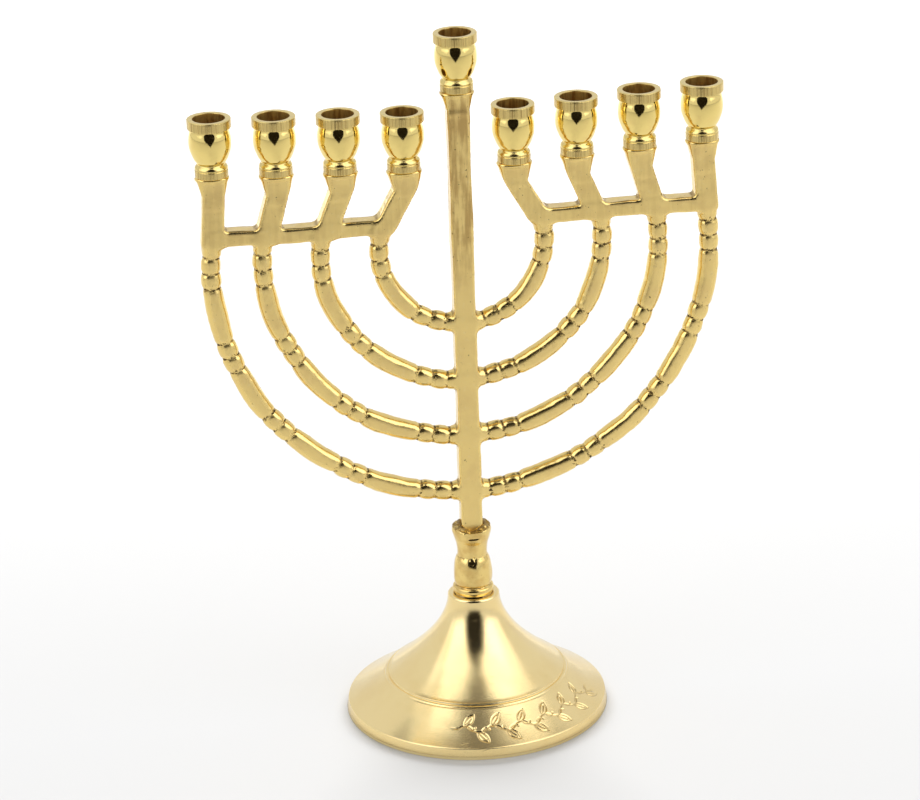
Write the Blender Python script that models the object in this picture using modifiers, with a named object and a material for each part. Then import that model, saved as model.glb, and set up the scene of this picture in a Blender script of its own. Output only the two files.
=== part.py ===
"""A nine-light Hanukkah menorah in polished brass, in metres, +Z up.

The origin is the centre of the foot's underside. The flat branch frame lies in the XZ plane, its face
towards -Y. A bell-shaped foot carries a turned baluster, the baluster carries the cast branch frame on a
tenon, and a stud with a washer and a nut ties them from below. Nine turned candle cups stand on threaded
studs in the frame's heads.
"""

import math

import bmesh
import bpy
from mathutils import Vector

# Driving dimensions
TOTAL_HEIGHT = 0.2400
ARM_COUNT = 4
CUP_PITCH = 0.0209
INNER_CUP_X = 0.0182
CUP_ROW_TOP = 0.2159
CUP_ROW_RISE = 0.0009
TOUCH_GAP = 0.0003
RUNNING_GAP = 0.0001

# Candle cup
CUP_HEIGHT = 0.0195
CUP_RIM_RADIUS = 0.0072
CUP_BORE_RADIUS = 0.0053
CUP_BORE_DEPTH = 0.0120
CUP_RIM_BAND = 0.0031
CUP_BULB_RADIUS = 0.0070
CUP_NECK_RADIUS = 0.0048
CUP_COLLAR_RADIUS = 0.0055
CUP_STEPS = 16

# Threaded studs
CUP_STUD_RADIUS = 0.0020
CUP_STUD_LENGTH = 0.0076
CUP_STUD_IN_CUP = 0.0038
CUP_TAP_RADIUS = CUP_STUD_RADIUS + RUNNING_GAP
TIE_STUD_RADIUS = 0.0030
TIE_HOLE_RADIUS = TIE_STUD_RADIUS + RUNNING_GAP
STUD_STEPS = 12

# Cast branch frame
POST_WIDTH = 0.0073
FRAME_DEPTH = 0.0066
TENON_BOTTOM = 0.0625
ARM_RADII = (0.0276, 0.0470, 0.0659, 0.0828)
LOWEST_ARM = 0.0796
ARM_STEP = 0.0201
ARM_THICKNESS = 0.0066
ARM_ROUND_STEP = 0.0070
BAR_CENTRE = 0.1760
BAR_HEIGHT = 0.0050
BAR_DEPTH = 0.0060
STUB_FEET = (0.0270, 0.0459, 0.0650, 0.0821)
STUB_DROP = 0.0040
HEAD_HEIGHT = 0.0058
HEAD_WIDTH = 0.0112
HEAD_DEPTH = 0.0082
HEAD_LIP = 0.0010
EDGE = 0.0005

# Knops: groups of three grooves along each arm, measured along the arc from the post's axis
FIRST_KNOP = 0.0120
LAST_KNOP_FROM_BAR = 0.0090
GROOVE_PITCH = 0.0053
GROOVES = 3
GROOVE_RATIO = 0.82
BEAD_RATIO = 1.02

# Baluster
BALUSTER_TOP = 0.0682
SOCKET_DEPTH = 0.0060
TIE_STUD_TOP = 0.0540
BALUSTER_STEPS = 24

# Foot
FOOT_RADIUS = 0.0448
FOOT_RIM = 0.0041
FOOT_RIM_TOP_RADIUS = 0.0439
FOOT_WALL = 0.0018
GROOVE_RADIUS = 0.0300
GROOVE_HEIGHT = 0.0136
NECK_RADIUS = 0.0088
NECK_TOP = 0.0420
NECK_THICKNESS = 0.0045
NECK_SEAT = NECK_TOP - NECK_THICKNESS
FLARE_BEND = (0.0090, 0.0292)
FOOT_STEPS = 48

# Washer and nut
WASHER_RADIUS = 0.0060
WASHER_THICKNESS = 0.0016
NUT_ACROSS_CORNERS = 0.0115
NUT_HEIGHT = 0.0050
TIE_STUD_BOTTOM = 0.0278

CUP_BRASS = (0.86, 0.66, 0.30, 1.0)
CAST_BRASS = (0.78, 0.60, 0.30, 1.0)
FOOT_BRASS = (0.84, 0.66, 0.33, 1.0)
STEEL = (0.62, 0.62, 0.63, 1.0)


def clear_scene():
    for obj in list(bpy.data.objects):
        bpy.data.objects.remove(obj, do_unlink=True)


def new_collection(name, hidden=False):
    collection = bpy.data.collections.new(name)
    bpy.context.scene.collection.children.link(collection)
    collection.hide_render = hidden
    return collection


def metal(name, colour, roughness):
    material = bpy.data.materials.new(name)
    material.use_nodes = True
    shader = material.node_tree.nodes["Principled BSDF"]
    shader.inputs["Base Color"].default_value = colour
    shader.inputs["Metallic"].default_value = 1.0
    shader.inputs["Roughness"].default_value = roughness
    material.diffuse_color = colour
    return material


def finish_round(obj):
    obj.data.shade_smooth()
    obj.data.set_sharp_from_angle(angle=math.radians(35))


def link(obj, collection, material=None):
    collection.objects.link(obj)
    if material is not None:
        obj.data.materials.append(material)
    return obj


def make_helper(obj):
    obj.hide_render = True
    obj.display_type = "WIRE"
    return obj


def quadratic(start, bend, end, count):
    """count points of the quadratic curve that leaves start towards bend and arrives at end from it."""
    points = []
    for i in range(count):
        t = i / (count - 1)
        shares = (1 - t) ** 2, 2 * t * (1 - t), t * t
        points.append(tuple(sum(s * p for s, p in zip(shares, axis)) for axis in zip(start, bend, end)))
    return points


def turned(name, outline, steps, collection, material, closed=False):
    """A turned piece about its own Z axis. The outline is (radius, height) and runs down the outer side."""
    mesh = bpy.data.meshes.new(name)
    points = [(radius, 0.0, height) for radius, height in outline]
    edges = [(i, i + 1) for i in range(len(points) - 1)]
    if closed:
        edges.append((len(points) - 1, 0))
    mesh.from_pydata(points, edges, [])
    obj = link(bpy.data.objects.new(name, mesh), collection, material)
    screw = obj.modifiers.new("turning", "SCREW")
    screw.steps = steps
    screw.render_steps = steps
    screw.use_merge_vertices = True
    screw.merge_threshold = 0.00001
    screw.use_smooth_shade = True
    return obj


def cylinder(name, radius, bottom, top, steps, collection, material=None):
    mesh = bpy.data.meshes.new(name)
    shape = bmesh.new()
    bmesh.ops.create_cone(
        shape, cap_ends=True, segments=steps, radius1=radius, radius2=radius, depth=top - bottom
    )
    bmesh.ops.translate(shape, vec=Vector((0, 0, (top + bottom) / 2)), verts=shape.verts)
    shape.to_mesh(mesh)
    shape.free()
    obj = link(bpy.data.objects.new(name, mesh), collection, material)
    finish_round(obj)
    return obj


def box(name, low, high, collection, material=None, edge=0.0):
    """A box between two corners, its scale in its mesh, with a small flat bevel where edge is given."""
    mesh = bpy.data.meshes.new(name)
    shape = bmesh.new()
    bmesh.ops.create_cube(shape, size=1.0)
    bmesh.ops.scale(shape, vec=Vector(high) - Vector(low), verts=shape.verts)
    bmesh.ops.translate(shape, vec=(Vector(high) + Vector(low)) / 2, verts=shape.verts)
    if edge:
        bmesh.ops.bevel(shape, geom=shape.edges, offset=edge, segments=1, affect="EDGES")
    shape.to_mesh(mesh)
    shape.free()
    return link(bpy.data.objects.new(name, mesh), collection, material)


def cut(obj, cutter):
    """Takes the cutter out of the object."""
    make_helper(cutter)
    boolean = obj.modifiers.new("cut " + cutter.name, "BOOLEAN")
    boolean.operation = "DIFFERENCE"
    boolean.solver = "EXACT"
    boolean.object = cutter


def join(obj, piece):
    """Unites the piece with the object."""
    make_helper(piece)
    boolean = obj.modifiers.new("join " + piece.name, "BOOLEAN")
    boolean.operation = "UNION"
    boolean.solver = "EXACT"
    boolean.object = piece


def arm_centre(arm):
    """Height of the centre of one arm's arc, above the post's axis."""
    return LOWEST_ARM + (ARM_COUNT - 1 - arm) * ARM_STEP + ARM_RADII[arm]


def cup_places():
    """(number, x, top, foot_x) of the nine cups, left to right; foot_x is where the stub below the cup
    leaves the bar. The shamash, in the middle, has the number 0 and stands on the post."""
    arms = [(-1, arm) for arm in reversed(range(ARM_COUNT))] + [(1, arm) for arm in range(ARM_COUNT)]
    places = []
    for number, (side, arm) in enumerate(arms, 1):
        top = CUP_ROW_TOP + (arm - (ARM_COUNT - 1) / 2) * CUP_ROW_RISE
        places.append((number, side * (INNER_CUP_X + arm * CUP_PITCH), top, side * STUB_FEET[arm]))
    places.insert(ARM_COUNT, (0, 0.0, TOTAL_HEIGHT, 0.0))
    return places


def cup_outline():
    """A plain bore, a flat rim band, a groove, a bulb, a neck and a stepped collar with a tapped hole."""
    height, bore, rim = CUP_HEIGHT, CUP_BORE_RADIUS, CUP_RIM_RADIUS
    tap, tap_depth = CUP_TAP_RADIUS, CUP_STUD_IN_CUP + TOUCH_GAP
    neck = (CUP_NECK_RADIUS, height - 0.0150)
    bulb = quadratic((0.0064, height - 0.0037), (0.0080, height - 0.0085), neck, 7)
    inside = [(0.0, height - CUP_BORE_DEPTH), (bore, height - CUP_BORE_DEPTH), (bore, height)]
    rim_band = [(rim, height), (rim, height - CUP_RIM_BAND), (0.0063, height - CUP_RIM_BAND - 0.0002)]
    foot = [(0.0053, 0.0031), (CUP_COLLAR_RADIUS, 0.0022), (CUP_COLLAR_RADIUS, 0.0)]
    return inside + rim_band + bulb + foot + [(tap, 0.0), (tap, tap_depth), (0.0, tap_depth)]


def make_cups(collection):
    """One cup on each arm and the shamash cup on the post, each with its origin on its thread's axis."""
    for number, x, top, _ in cup_places():
        name = f"cup_{number}" if number else "shamash_cup"
        brass = metal(name + "_brass", CUP_BRASS, 0.12)
        cup = turned(name, cup_outline(), CUP_STEPS, collection, brass)
        cup.location = (x, 0.0, top - CUP_HEIGHT)


def make_cup_studs(collection):
    """The threaded stud under each cup, half in the cup and half in the frame's head."""
    low = CUP_STUD_IN_CUP - CUP_STUD_LENGTH
    for number, x, top, _ in cup_places():
        name = f"cup_stud_{number}" if number else "shamash_stud"
        brass = metal(name + "_brass", CAST_BRASS, 0.35)
        stud = cylinder(name, CUP_STUD_RADIUS, low, CUP_STUD_IN_CUP, STUD_STEPS, collection, brass)
        stud.location = (x, 0.0, top - CUP_HEIGHT)


def arm_radius_ratio(along, knops):
    """1 on the plain stretches, less in the grooves and a little more on the beads."""
    for knop in knops:
        steps = (along - knop) / GROOVE_PITCH
        if abs(steps) < GROOVES / 2 + 0.01:
            at_groove = abs(steps - round(steps)) < 0.01
            return GROOVE_RATIO if at_groove else BEAD_RATIO
    return 1.0


def arm_stations(arm):
    """Places along one arm from the post's axis to the bar: grooves, bead tops and the plain stretches."""
    radius = ARM_RADII[arm]
    length = radius * math.acos((arm_centre(arm) - BAR_CENTRE) / radius)
    knop_count = arm + 2
    first, last = FIRST_KNOP, length - LAST_KNOP_FROM_BAR - BAR_HEIGHT / 2
    knops = [first + (last - first) * i / (knop_count - 1) for i in range(knop_count)]
    stations = [0.0, length]
    half = GROOVES * GROOVE_PITCH / 2
    for knop in knops:
        stations += [knop - half + GROOVE_PITCH / 2 * i for i in range(2 * GROOVES + 1)]
    for left, right in zip(knops, knops[1:]):
        gap = right - left - 2 * half
        count = round(gap / ARM_ROUND_STEP)
        stations += [left + half + gap * i / count for i in range(1, count)]
    return sorted(stations), knops


def make_arm(arm, collection):
    """A U-shaped arm through the post, from bar to bar, as a tube whose radius follows the knops."""
    stations, knops = arm_stations(arm)
    radius = ARM_RADII[arm]
    whole = [-s for s in reversed(stations)] + stations[1:]
    curve = bpy.data.curves.new(f"arm_{arm + 1}", "CURVE")
    curve.dimensions = "3D"
    curve.bevel_depth = ARM_THICKNESS / 2
    curve.bevel_resolution = 2
    curve.use_fill_caps = True
    spline = curve.splines.new("POLY")
    spline.points.add(len(whole) - 1)
    for point, along in zip(spline.points, whole):
        angle = along / radius
        point.co = (radius * math.sin(angle), 0.0, arm_centre(arm) - radius * math.cos(angle), 1.0)
        point.radius = arm_radius_ratio(abs(along), knops)
        point.tilt = math.pi / 8
    guide = bpy.data.objects.new(f"arm_{arm + 1}_guide", curve)
    collection.objects.link(guide)
    return mesh_from_curve(guide, f"arm_{arm + 1}_tube", collection)


def mesh_from_curve(guide, name, collection):
    """The curve's tube as a closed mesh, its loose caps welded on."""
    graph = bpy.context.evaluated_depsgraph_get()
    mesh = bpy.data.meshes.new_from_object(guide.evaluated_get(graph))
    mesh.name = name
    shape = bmesh.new()
    shape.from_mesh(mesh)
    bmesh.ops.remove_doubles(shape, verts=shape.verts, dist=0.000005)
    bmesh.ops.recalc_face_normals(shape, faces=shape.faces)
    shape.to_mesh(mesh)
    shape.free()
    obj = link(bpy.data.objects.new(name, mesh), collection)
    obj.matrix_world = guide.matrix_world
    bpy.data.objects.remove(guide, do_unlink=True)
    return obj


def loft(name, sections, collection):
    """A solid through level sections (x, z, width, depth, corner), rectangles with their corners cut off."""
    shape = bmesh.new()
    rings = []
    for x, z, width, depth, corner in sections:
        w, d = width / 2, depth / 2
        outline = [
            (w - corner, -d), (w, corner - d), (w, d - corner), (w - corner, d),
            (corner - w, d), (-w, d - corner), (-w, corner - d), (corner - w, -d),
        ]
        rings.append([shape.verts.new((x + px, py, z)) for px, py in outline])
    for lower, upper in zip(rings, rings[1:]):
        for i in range(len(lower)):
            j = (i + 1) % len(lower)
            shape.faces.new((lower[i], lower[j], upper[j], upper[i]))
    shape.faces.new(reversed(rings[0]))
    shape.faces.new(rings[-1])
    mesh = bpy.data.meshes.new(name)
    shape.to_mesh(mesh)
    shape.free()
    return link(bpy.data.objects.new(name, mesh), collection)


def make_head(name, x, foot_x, foot_z, top, collection):
    """A stub that leans in from the bar and widens into the flat-topped head under a cup."""
    shoulder = top - HEAD_HEIGHT
    share = HEAD_HEIGHT / (top - foot_z)
    shoulder_x = x + (foot_x - x) * share
    stub = (POST_WIDTH, FRAME_DEPTH, EDGE)
    sections = [
        (foot_x, foot_z, *stub),
        (shoulder_x, shoulder, *stub),
        (x, top - HEAD_LIP, HEAD_WIDTH - 0.0008, FRAME_DEPTH + 0.0004, 4 * EDGE),
        (x, top, HEAD_WIDTH, HEAD_DEPTH, 5 * EDGE),
    ]
    return loft(name, sections, collection)


def make_frame(collection, helpers):
    """The one-piece casting: post, four U-shaped arms, two bars, eight stubs and nine heads with stud holes."""
    half = POST_WIDTH / 2
    shamash_head_top = TOTAL_HEIGHT - CUP_HEIGHT - TOUCH_GAP
    post_low = (-half, -FRAME_DEPTH / 2, TENON_BOTTOM)
    post_high = (half, FRAME_DEPTH / 2, shamash_head_top - HEAD_HEIGHT)
    brass = metal("cast_brass", CAST_BRASS, 0.28)
    frame = box("branch_frame", post_low, post_high, collection, brass, EDGE)
    for arm in range(ARM_COUNT):
        join(frame, make_arm(arm, helpers))
    for side in (-1, 1):
        ends = sorted((side * STUB_FEET[0], side * STUB_FEET[-1]))
        low = (ends[0], -BAR_DEPTH / 2, BAR_CENTRE - BAR_HEIGHT / 2)
        high = (ends[1], BAR_DEPTH / 2, BAR_CENTRE + BAR_HEIGHT / 2)
        join(frame, box(f"bar_{'left' if side < 0 else 'right'}", low, high, helpers))
    for number, x, top, foot_x in cup_places():
        head_top = top - CUP_HEIGHT - TOUCH_GAP
        foot_z = BAR_CENTRE - STUB_DROP if number else head_top - 2 * HEAD_HEIGHT
        join(frame, make_head(f"head_{number}", x, foot_x, foot_z, head_top, helpers))
    depth = CUP_STUD_LENGTH - CUP_STUD_IN_CUP + TOUCH_GAP
    for number, x, top, _ in cup_places():
        hole = cylinder(f"head_hole_{number}", CUP_TAP_RADIUS, -depth, CUP_STUD_IN_CUP, CUP_STEPS, helpers)
        hole.location = (x, 0.0, top - CUP_HEIGHT)
        cut(frame, hole)
    return frame


def make_baluster(collection, helpers):
    """Cap with a square socket for the post, waist, barrel and bead, bored from below for the tie stud."""
    tap = TIE_STUD_RADIUS + TOUCH_GAP
    cap = [(0.0, BALUSTER_TOP), (0.0052, BALUSTER_TOP), (0.0063, 0.0669), (0.0067, 0.0652)]
    waist = quadratic((0.0065, 0.0632), (0.0044, 0.0584), (0.0053, 0.0540), 6)
    barrel = quadratic((0.0056, 0.0531), (0.0067, 0.0488), (0.0060, 0.0452), 5)
    bead = [(0.0066, 0.0449), (0.0070, 0.0438), (0.0066, NECK_TOP + TOUCH_GAP)]
    bore = [(tap, NECK_TOP + TOUCH_GAP), (tap, TIE_STUD_TOP + TOUCH_GAP), (0.0, TIE_STUD_TOP + TOUCH_GAP)]
    brass = metal("baluster_brass", CAST_BRASS, 0.18)
    outline = cap + waist + barrel + bead + bore
    baluster = turned("stem_baluster", outline, BALUSTER_STEPS, collection, brass)
    w, d = POST_WIDTH / 2 + TOUCH_GAP, FRAME_DEPTH / 2 + TOUCH_GAP
    floor = TENON_BOTTOM - TOUCH_GAP
    cut(baluster, box("post_socket", (-w, -d, floor), (w, d, floor + 2 * SOCKET_DEPTH), helpers))
    return baluster


def make_foot(collection):
    """The hollow bell-shaped foot: flat neck, concave flare, fine step, shallow cone and upright rim."""
    wall = FOOT_WALL
    neck = [(TIE_HOLE_RADIUS, NECK_TOP), (NECK_RADIUS - 0.0006, NECK_TOP)]
    flare = quadratic((NECK_RADIUS, NECK_TOP - 0.0006), FLARE_BEND, (GROOVE_RADIUS, GROOVE_HEIGHT), 12)
    step_floor = (GROOVE_RADIUS + 0.0002, GROOVE_HEIGHT - 0.0006)
    step = [step_floor, (GROOVE_RADIUS + 0.0011, GROOVE_HEIGHT - 0.0008)]
    rim = [(FOOT_RIM_TOP_RADIUS, FOOT_RIM), (FOOT_RADIUS, 0.0)]
    inner_rim = [(FOOT_RADIUS - wall, 0.0), (FOOT_RIM_TOP_RADIUS - wall, FOOT_RIM - 0.7 * wall)]
    bend = (FLARE_BEND[0] - wall, FLARE_BEND[1] - wall)
    inner_end = (NECK_RADIUS - wall, NECK_SEAT)
    inner_flare = quadratic((GROOVE_RADIUS - wall, GROOVE_HEIGHT - 0.8 * wall), bend, inner_end, 9)
    brass = metal("foot_brass", FOOT_BRASS, 0.16)
    outline = neck + flare + step + rim + inner_rim + inner_flare + [(TIE_HOLE_RADIUS, NECK_SEAT)]
    return turned("bell_foot", outline, FOOT_STEPS, collection, brass, closed=True)


def make_fixings(collection):
    """The tie stud through the neck and the washer under the neck. Returns where the nut's top comes."""
    steel = metal("fixing_steel", STEEL, 0.35)
    cylinder("tie_stud", TIE_STUD_RADIUS, TIE_STUD_BOTTOM, TIE_STUD_TOP, 2 * STUD_STEPS, collection, steel)
    top = NECK_SEAT - TOUCH_GAP
    bottom = top - WASHER_THICKNESS
    ring = [(TIE_HOLE_RADIUS, top), (WASHER_RADIUS, top), (WASHER_RADIUS, bottom), (TIE_HOLE_RADIUS, bottom)]
    turned("washer", ring, 2 * STUD_STEPS, collection, metal("washer_steel", STEEL, 0.35), closed=True)
    return bottom - TOUCH_GAP


def make_nut(top, collection, helpers):
    """A hexagon nut, bored to run on the tie stud."""
    nut_steel = metal("nut_steel", STEEL, 0.35)
    nut = cylinder("hex_nut", NUT_ACROSS_CORNERS / 2, top - NUT_HEIGHT, top, 6, collection, nut_steel)
    low, high = top - 2 * NUT_HEIGHT, top + NUT_HEIGHT
    cut(nut, cylinder("nut_hole", TIE_HOLE_RADIUS, low, high, 2 * STUD_STEPS, helpers))


def main():
    clear_scene()
    menorah = new_collection("menorah")
    helpers = new_collection("cutters", hidden=True)
    make_foot(menorah)
    nut_top = make_fixings(menorah)
    make_nut(nut_top, menorah, helpers)
    make_baluster(menorah, helpers)
    make_frame(menorah, helpers)
    make_cup_studs(menorah)
    make_cups(menorah)


main()
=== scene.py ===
import math

import bpy
import numpy as np
from mathutils import Matrix, Vector


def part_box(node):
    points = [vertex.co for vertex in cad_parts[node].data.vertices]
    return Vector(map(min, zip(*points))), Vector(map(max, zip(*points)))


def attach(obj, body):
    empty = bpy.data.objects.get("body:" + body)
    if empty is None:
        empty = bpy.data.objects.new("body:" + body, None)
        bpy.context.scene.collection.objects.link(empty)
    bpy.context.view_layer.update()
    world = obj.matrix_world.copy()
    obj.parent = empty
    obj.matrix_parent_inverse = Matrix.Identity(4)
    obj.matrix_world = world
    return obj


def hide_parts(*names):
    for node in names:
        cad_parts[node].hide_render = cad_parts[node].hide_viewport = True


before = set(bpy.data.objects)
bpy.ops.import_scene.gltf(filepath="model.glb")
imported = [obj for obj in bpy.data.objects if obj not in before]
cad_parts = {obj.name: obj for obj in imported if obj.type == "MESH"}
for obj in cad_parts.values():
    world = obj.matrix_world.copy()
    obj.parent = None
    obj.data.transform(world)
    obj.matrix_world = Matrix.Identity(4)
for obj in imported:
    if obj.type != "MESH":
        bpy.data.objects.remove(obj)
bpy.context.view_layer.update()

# A nine-light menorah of cast and turned brass. Shapes and sizes are in millimetres unless a comment says
# otherwise, and lay_mesh turns them into metres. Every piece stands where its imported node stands.

MM = 0.001
TAU = 2 * math.pi
ARMS = 4
CUPS = ("cup_1", "cup_2", "cup_3", "cup_4", "shamash_cup", "cup_5", "cup_6", "cup_7", "cup_8")
LIGHT_GAP = 0.3

# Cast branch frame: half sizes across and front to back, heights above the floor, and distances along an arm
POST_HALF_WIDTH, POST_HALF_DEPTH, POST_EDGE = 3.65, 3.3, 0.6
TENON_BOTTOM = 62.5
ARM_RADII = (27.6, 47.0, 65.9, 82.8)
LOWEST_ARM, ARM_STEP = 79.6, 20.1
ARM_ROUND, ARM_FLAT = 3.42, 3.02
BAR_CENTRE, BAR_HALF_HEIGHT, BAR_HALF_DEPTH = 176.0, 2.55, 3.1
STUB_FEET = (27.0, 45.9, 65.0, 82.1)
HEAD_HEIGHT, HEAD_HALF_WIDTH, HEAD_HALF_DEPTH, HEAD_LIP = 6.0, 5.75, 4.1, 1.1
FACE = 3.28
FIRST_KNOP, LAST_KNOP_FROM_BAR, GROOVE_PITCH = 12.0, 11.5, 5.3
GROOVE_WIDTH, GROOVE_DEPTH = 0.80, 0.41
STUD_HOLE, STUD_HOLE_DEPTH = 2.1, 4.1
ARM_FILLET, BAR_FILLET, STUB_FILLET = 1.7, 1.5, 1.6
CELL, SKIN_MARGIN = 0.64, 1.3

# Foot: the lower band's ends as (radius, height), the arc that is chased, and radii
BAND_INNER, BAND_OUTER = (31.1, 12.8), (43.9, 4.1)
CHASED_FROM, CHASED_TO = math.radians(-108), math.radians(-20)
CHASED_RADIUS = 38.0
BAND_HOLLOW = 0.33
CHISEL_REACH, CHISEL_DEPTH = 0.40, 0.27
FOOT_HOLE, INNER_WALL = 3.1, 42.1

# Cups: radii, heights above the underside, and the band's height
CUP_BORE, CUP_FLOOR, CUP_RIM, CUP_BAND = 5.3, 7.5, 7.2, 3.1
CUP_COLLAR, CUP_COLLAR_HEIGHT = 5.48, 2.26
CUP_TAP, CUP_TAP_DEPTH = 2.1, 4.1

# Baluster: radii, the distance of the cap's filed flats from the axis, and the height of the hole's end
CAP_EDGE, CAP_FLAT, BEAD_LIP = 6.45, 5.85, 6.72
TIE_HOLE, TIE_HOLE_TOP = 3.3, 54.3

# Threads
CUP_THREAD_PITCH, TIE_THREAD_PITCH = 0.7, 1.0
CUP_THREAD_DEPTH, TIE_THREAD_DEPTH = 0.38, 0.55

# Camera: the direction it stands in and its roll, in degrees, and its distance and target in metres
CAMERA_AZIMUTH, CAMERA_ELEVATION, CAMERA_ROLL = -7.5913, 21.9973, -1.9757
CAMERA_TARGET, CAMERA_DISTANCE, CAMERA_LENS = (-0.002375, 0.0, 0.11223), 1.3195, 154.42

# Room, in metres
LIGHTS_AIM = (0, 0, 0.11)
FLOOR_REACH, TENT_RADIUS, TENT_FOOT, TENT_HEIGHT = 20.0, 2.8, -0.1, 3.6
ROOF_HEIGHT, ROOF_HALF_WIDTH = 1.2, 0.19
MOUTH_FAR, MOUTH_NEAR, MOUTH_LIFT = 2.4, 0.72, 0.002


# ---- outlines and meshes

def swept_corners(corners, steps=5):
    """An outline through (radius, height, sweep) corners. Each corner is replaced by a quadratic curve that
    leaves the line `sweep` before it and joins the next line `sweep` after it."""
    corners = np.array(corners, float)
    path = [corners[:1, :2]]
    t = np.linspace(0, 1, steps)[:, None]
    for before, here, after in zip(corners[:-2], corners[1:-1], corners[2:]):
        back, on = before[:2] - here[:2], after[:2] - here[:2]
        start = here[:2] + back * min(0.45, here[2] / np.hypot(*back))
        end = here[:2] + on * min(0.45, here[2] / np.hypot(*on))
        path.append((1 - t) ** 2 * start + 2 * t * (1 - t) * here[:2] + t * t * end)
    path.append(corners[-1:, :2])
    return np.concatenate(path)


def through(points, count):
    """A smooth outline through the points: each stretch is a cubic whose slope at a point is that of the line
    between the points on either side of it."""
    points = np.array(points, float)
    slopes = np.gradient(points, axis=0)
    at = np.linspace(0, len(points) - 1, count)
    i = np.minimum(at.astype(int), len(points) - 2)
    t = (at - i)[:, None]
    a, b, ma, mb = points[i], points[i + 1], slopes[i], slopes[i + 1]
    return ((2 * t**3 - 3 * t**2 + 1) * a + (t**3 - 2 * t**2 + t) * ma
            + (3 * t**2 - 2 * t**3) * b + (t**3 - t**2) * mb)


def quadratic(start, bend, end, count):
    """Points of the quadratic curve that leaves start towards bend and arrives at end from it."""
    t = np.linspace(0, 1, count)[:, None]
    return (1 - t) ** 2 * np.array(start) + 2 * t * (1 - t) * np.array(bend) + t * t * np.array(end)


def spaced(outline, spacing):
    """The outline with every longer stretch divided evenly, so that no step passes the spacing."""
    steps = np.hypot(*np.diff(outline, axis=0).T)
    counts = np.maximum(1, np.ceil(steps / spacing)).astype(int)
    start = np.repeat(np.arange(len(steps)), counts)
    share = np.concatenate([np.arange(n) / n for n in counts])[:, None]
    return np.concatenate([outline[start] * (1 - share) + outline[start + 1] * share, outline[-1:]])


def without_repeats(outline):
    """The outline with every point dropped that lies on the one after it."""
    return outline[np.append(np.hypot(*np.diff(outline, axis=0).T) > 1e-6, True)]


def swung(outline, angles):
    """The outline's radius and height at every angle."""
    return outline[:, :1] + 0 * angles, outline[:, 1:] + 0 * angles


def ripple(x, y, z, wavelength, seed, waves=7):
    """A smooth irregularity, mostly within -1 and 1: the sum of sine waves along seeded random directions."""
    draw = np.random.default_rng(seed)
    directions = draw.normal(size=(waves, 3))
    directions /= np.linalg.norm(directions, axis=1)[:, None]
    turns = TAU / (wavelength * draw.uniform(0.7, 1.5, waves))
    total = 0.0
    for (dx, dy, dz), turn, phase in zip(directions, turns, draw.uniform(0, TAU, waves)):
        total = total + np.sin((x * dx + y * dy + z * dz) * turn + phase)
    return total / math.sqrt(waves)


def lay_mesh(name, points, corners, sizes, fields):
    """A smooth-shaded mesh from its points, in millimetres, the corner list of its faces and the face sizes.
    Each field is a named number, or a vector, kept at every point."""
    mesh = bpy.data.meshes.new(name)
    mesh.vertices.add(len(points))
    mesh.vertices.foreach_set("co", (points * MM).astype(np.float32).ravel())
    mesh.loops.add(len(corners))
    mesh.loops.foreach_set("vertex_index", corners.astype(np.int32))
    mesh.polygons.add(len(sizes))
    mesh.polygons.foreach_set("loop_start", (np.cumsum(sizes) - sizes).astype(np.int32))
    mesh.update(calc_edges=True)
    mesh.validate()
    mesh.shade_smooth()
    for field, values in fields.items():
        kind, key = ("FLOAT_VECTOR", "vector") if values.ndim == 2 else ("FLOAT", "value")
        attribute = mesh.attributes.new(field, kind, "POINT")
        attribute.data.foreach_set(key, values.astype(np.float32).ravel())
    return mesh


def turned(name, radius, height, angles, centre=(0.0, 0.0), ring=False, fields=None, level=None):
    """The surface x = cx + radius cos(angle), y = cy + radius sin(angle), z = height, with radius and height
    given for every row of the outline and every angle. A ring's last row joins its first; any other piece is
    closed by a point at the middle of its first and of its last row. The outline runs down the outer side. The
    level is what the finish takes for the height, where that isn't the height itself."""
    rows, columns = radius.shape
    x, y = centre[0] + radius * np.cos(angles), centre[1] + radius * np.sin(angles)
    points = np.stack([x, y, height], axis=2).reshape(-1, 3)
    index = np.arange(rows * columns).reshape(rows, columns)
    lower = np.roll(index, -1, axis=0) if ring else index[1:]
    upper = index if ring else index[:-1]
    quads = np.stack([upper, lower, np.roll(lower, -1, axis=1), np.roll(upper, -1, axis=1)], axis=2)
    corners, sizes = quads.ravel(), np.full(quads.size // 4, 4)
    fields = {field: np.broadcast_to(values, radius.shape).ravel() for field, values in (fields or {}).items()}
    level = height if level is None else level
    along = np.stack([np.cos(angles) + 0 * radius, np.sin(angles) + 0 * radius, level], axis=2)
    fields["around"] = along.reshape(-1, 3)
    if not ring:
        poles = [(*centre, height[0].mean()), (*centre, height[-1].mean())]
        first, last = rows * columns, rows * columns + 1
        points = np.concatenate([points, poles])
        top = np.stack([np.full(columns, first), index[0], np.roll(index[0], -1)], axis=1)
        end = np.stack([index[-1], np.full(columns, last), np.roll(index[-1], -1)], axis=1)
        corners = np.concatenate([corners, top.ravel(), end.ravel()])
        sizes = np.concatenate([sizes, np.full(2 * columns, 3)])
        fields = {field: np.concatenate([values, values[[0]], values[[-1]]]) for field, values in fields.items()}
    return lay_mesh(name, points, corners, sizes, fields)


def placed(name, data):
    """A new object in the scene for a mesh, a light or a camera."""
    obj = bpy.data.objects.new(name, data)
    bpy.context.scene.collection.objects.link(obj)
    return obj


def stand(name, mesh, finish, body, node):
    """Makes the piece from its mesh, on the body that carries the node it stands for."""
    piece = placed(name, mesh)
    mesh.materials.append(finish)
    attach(piece, body)
    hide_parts(node)


# ---- finishes

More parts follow.
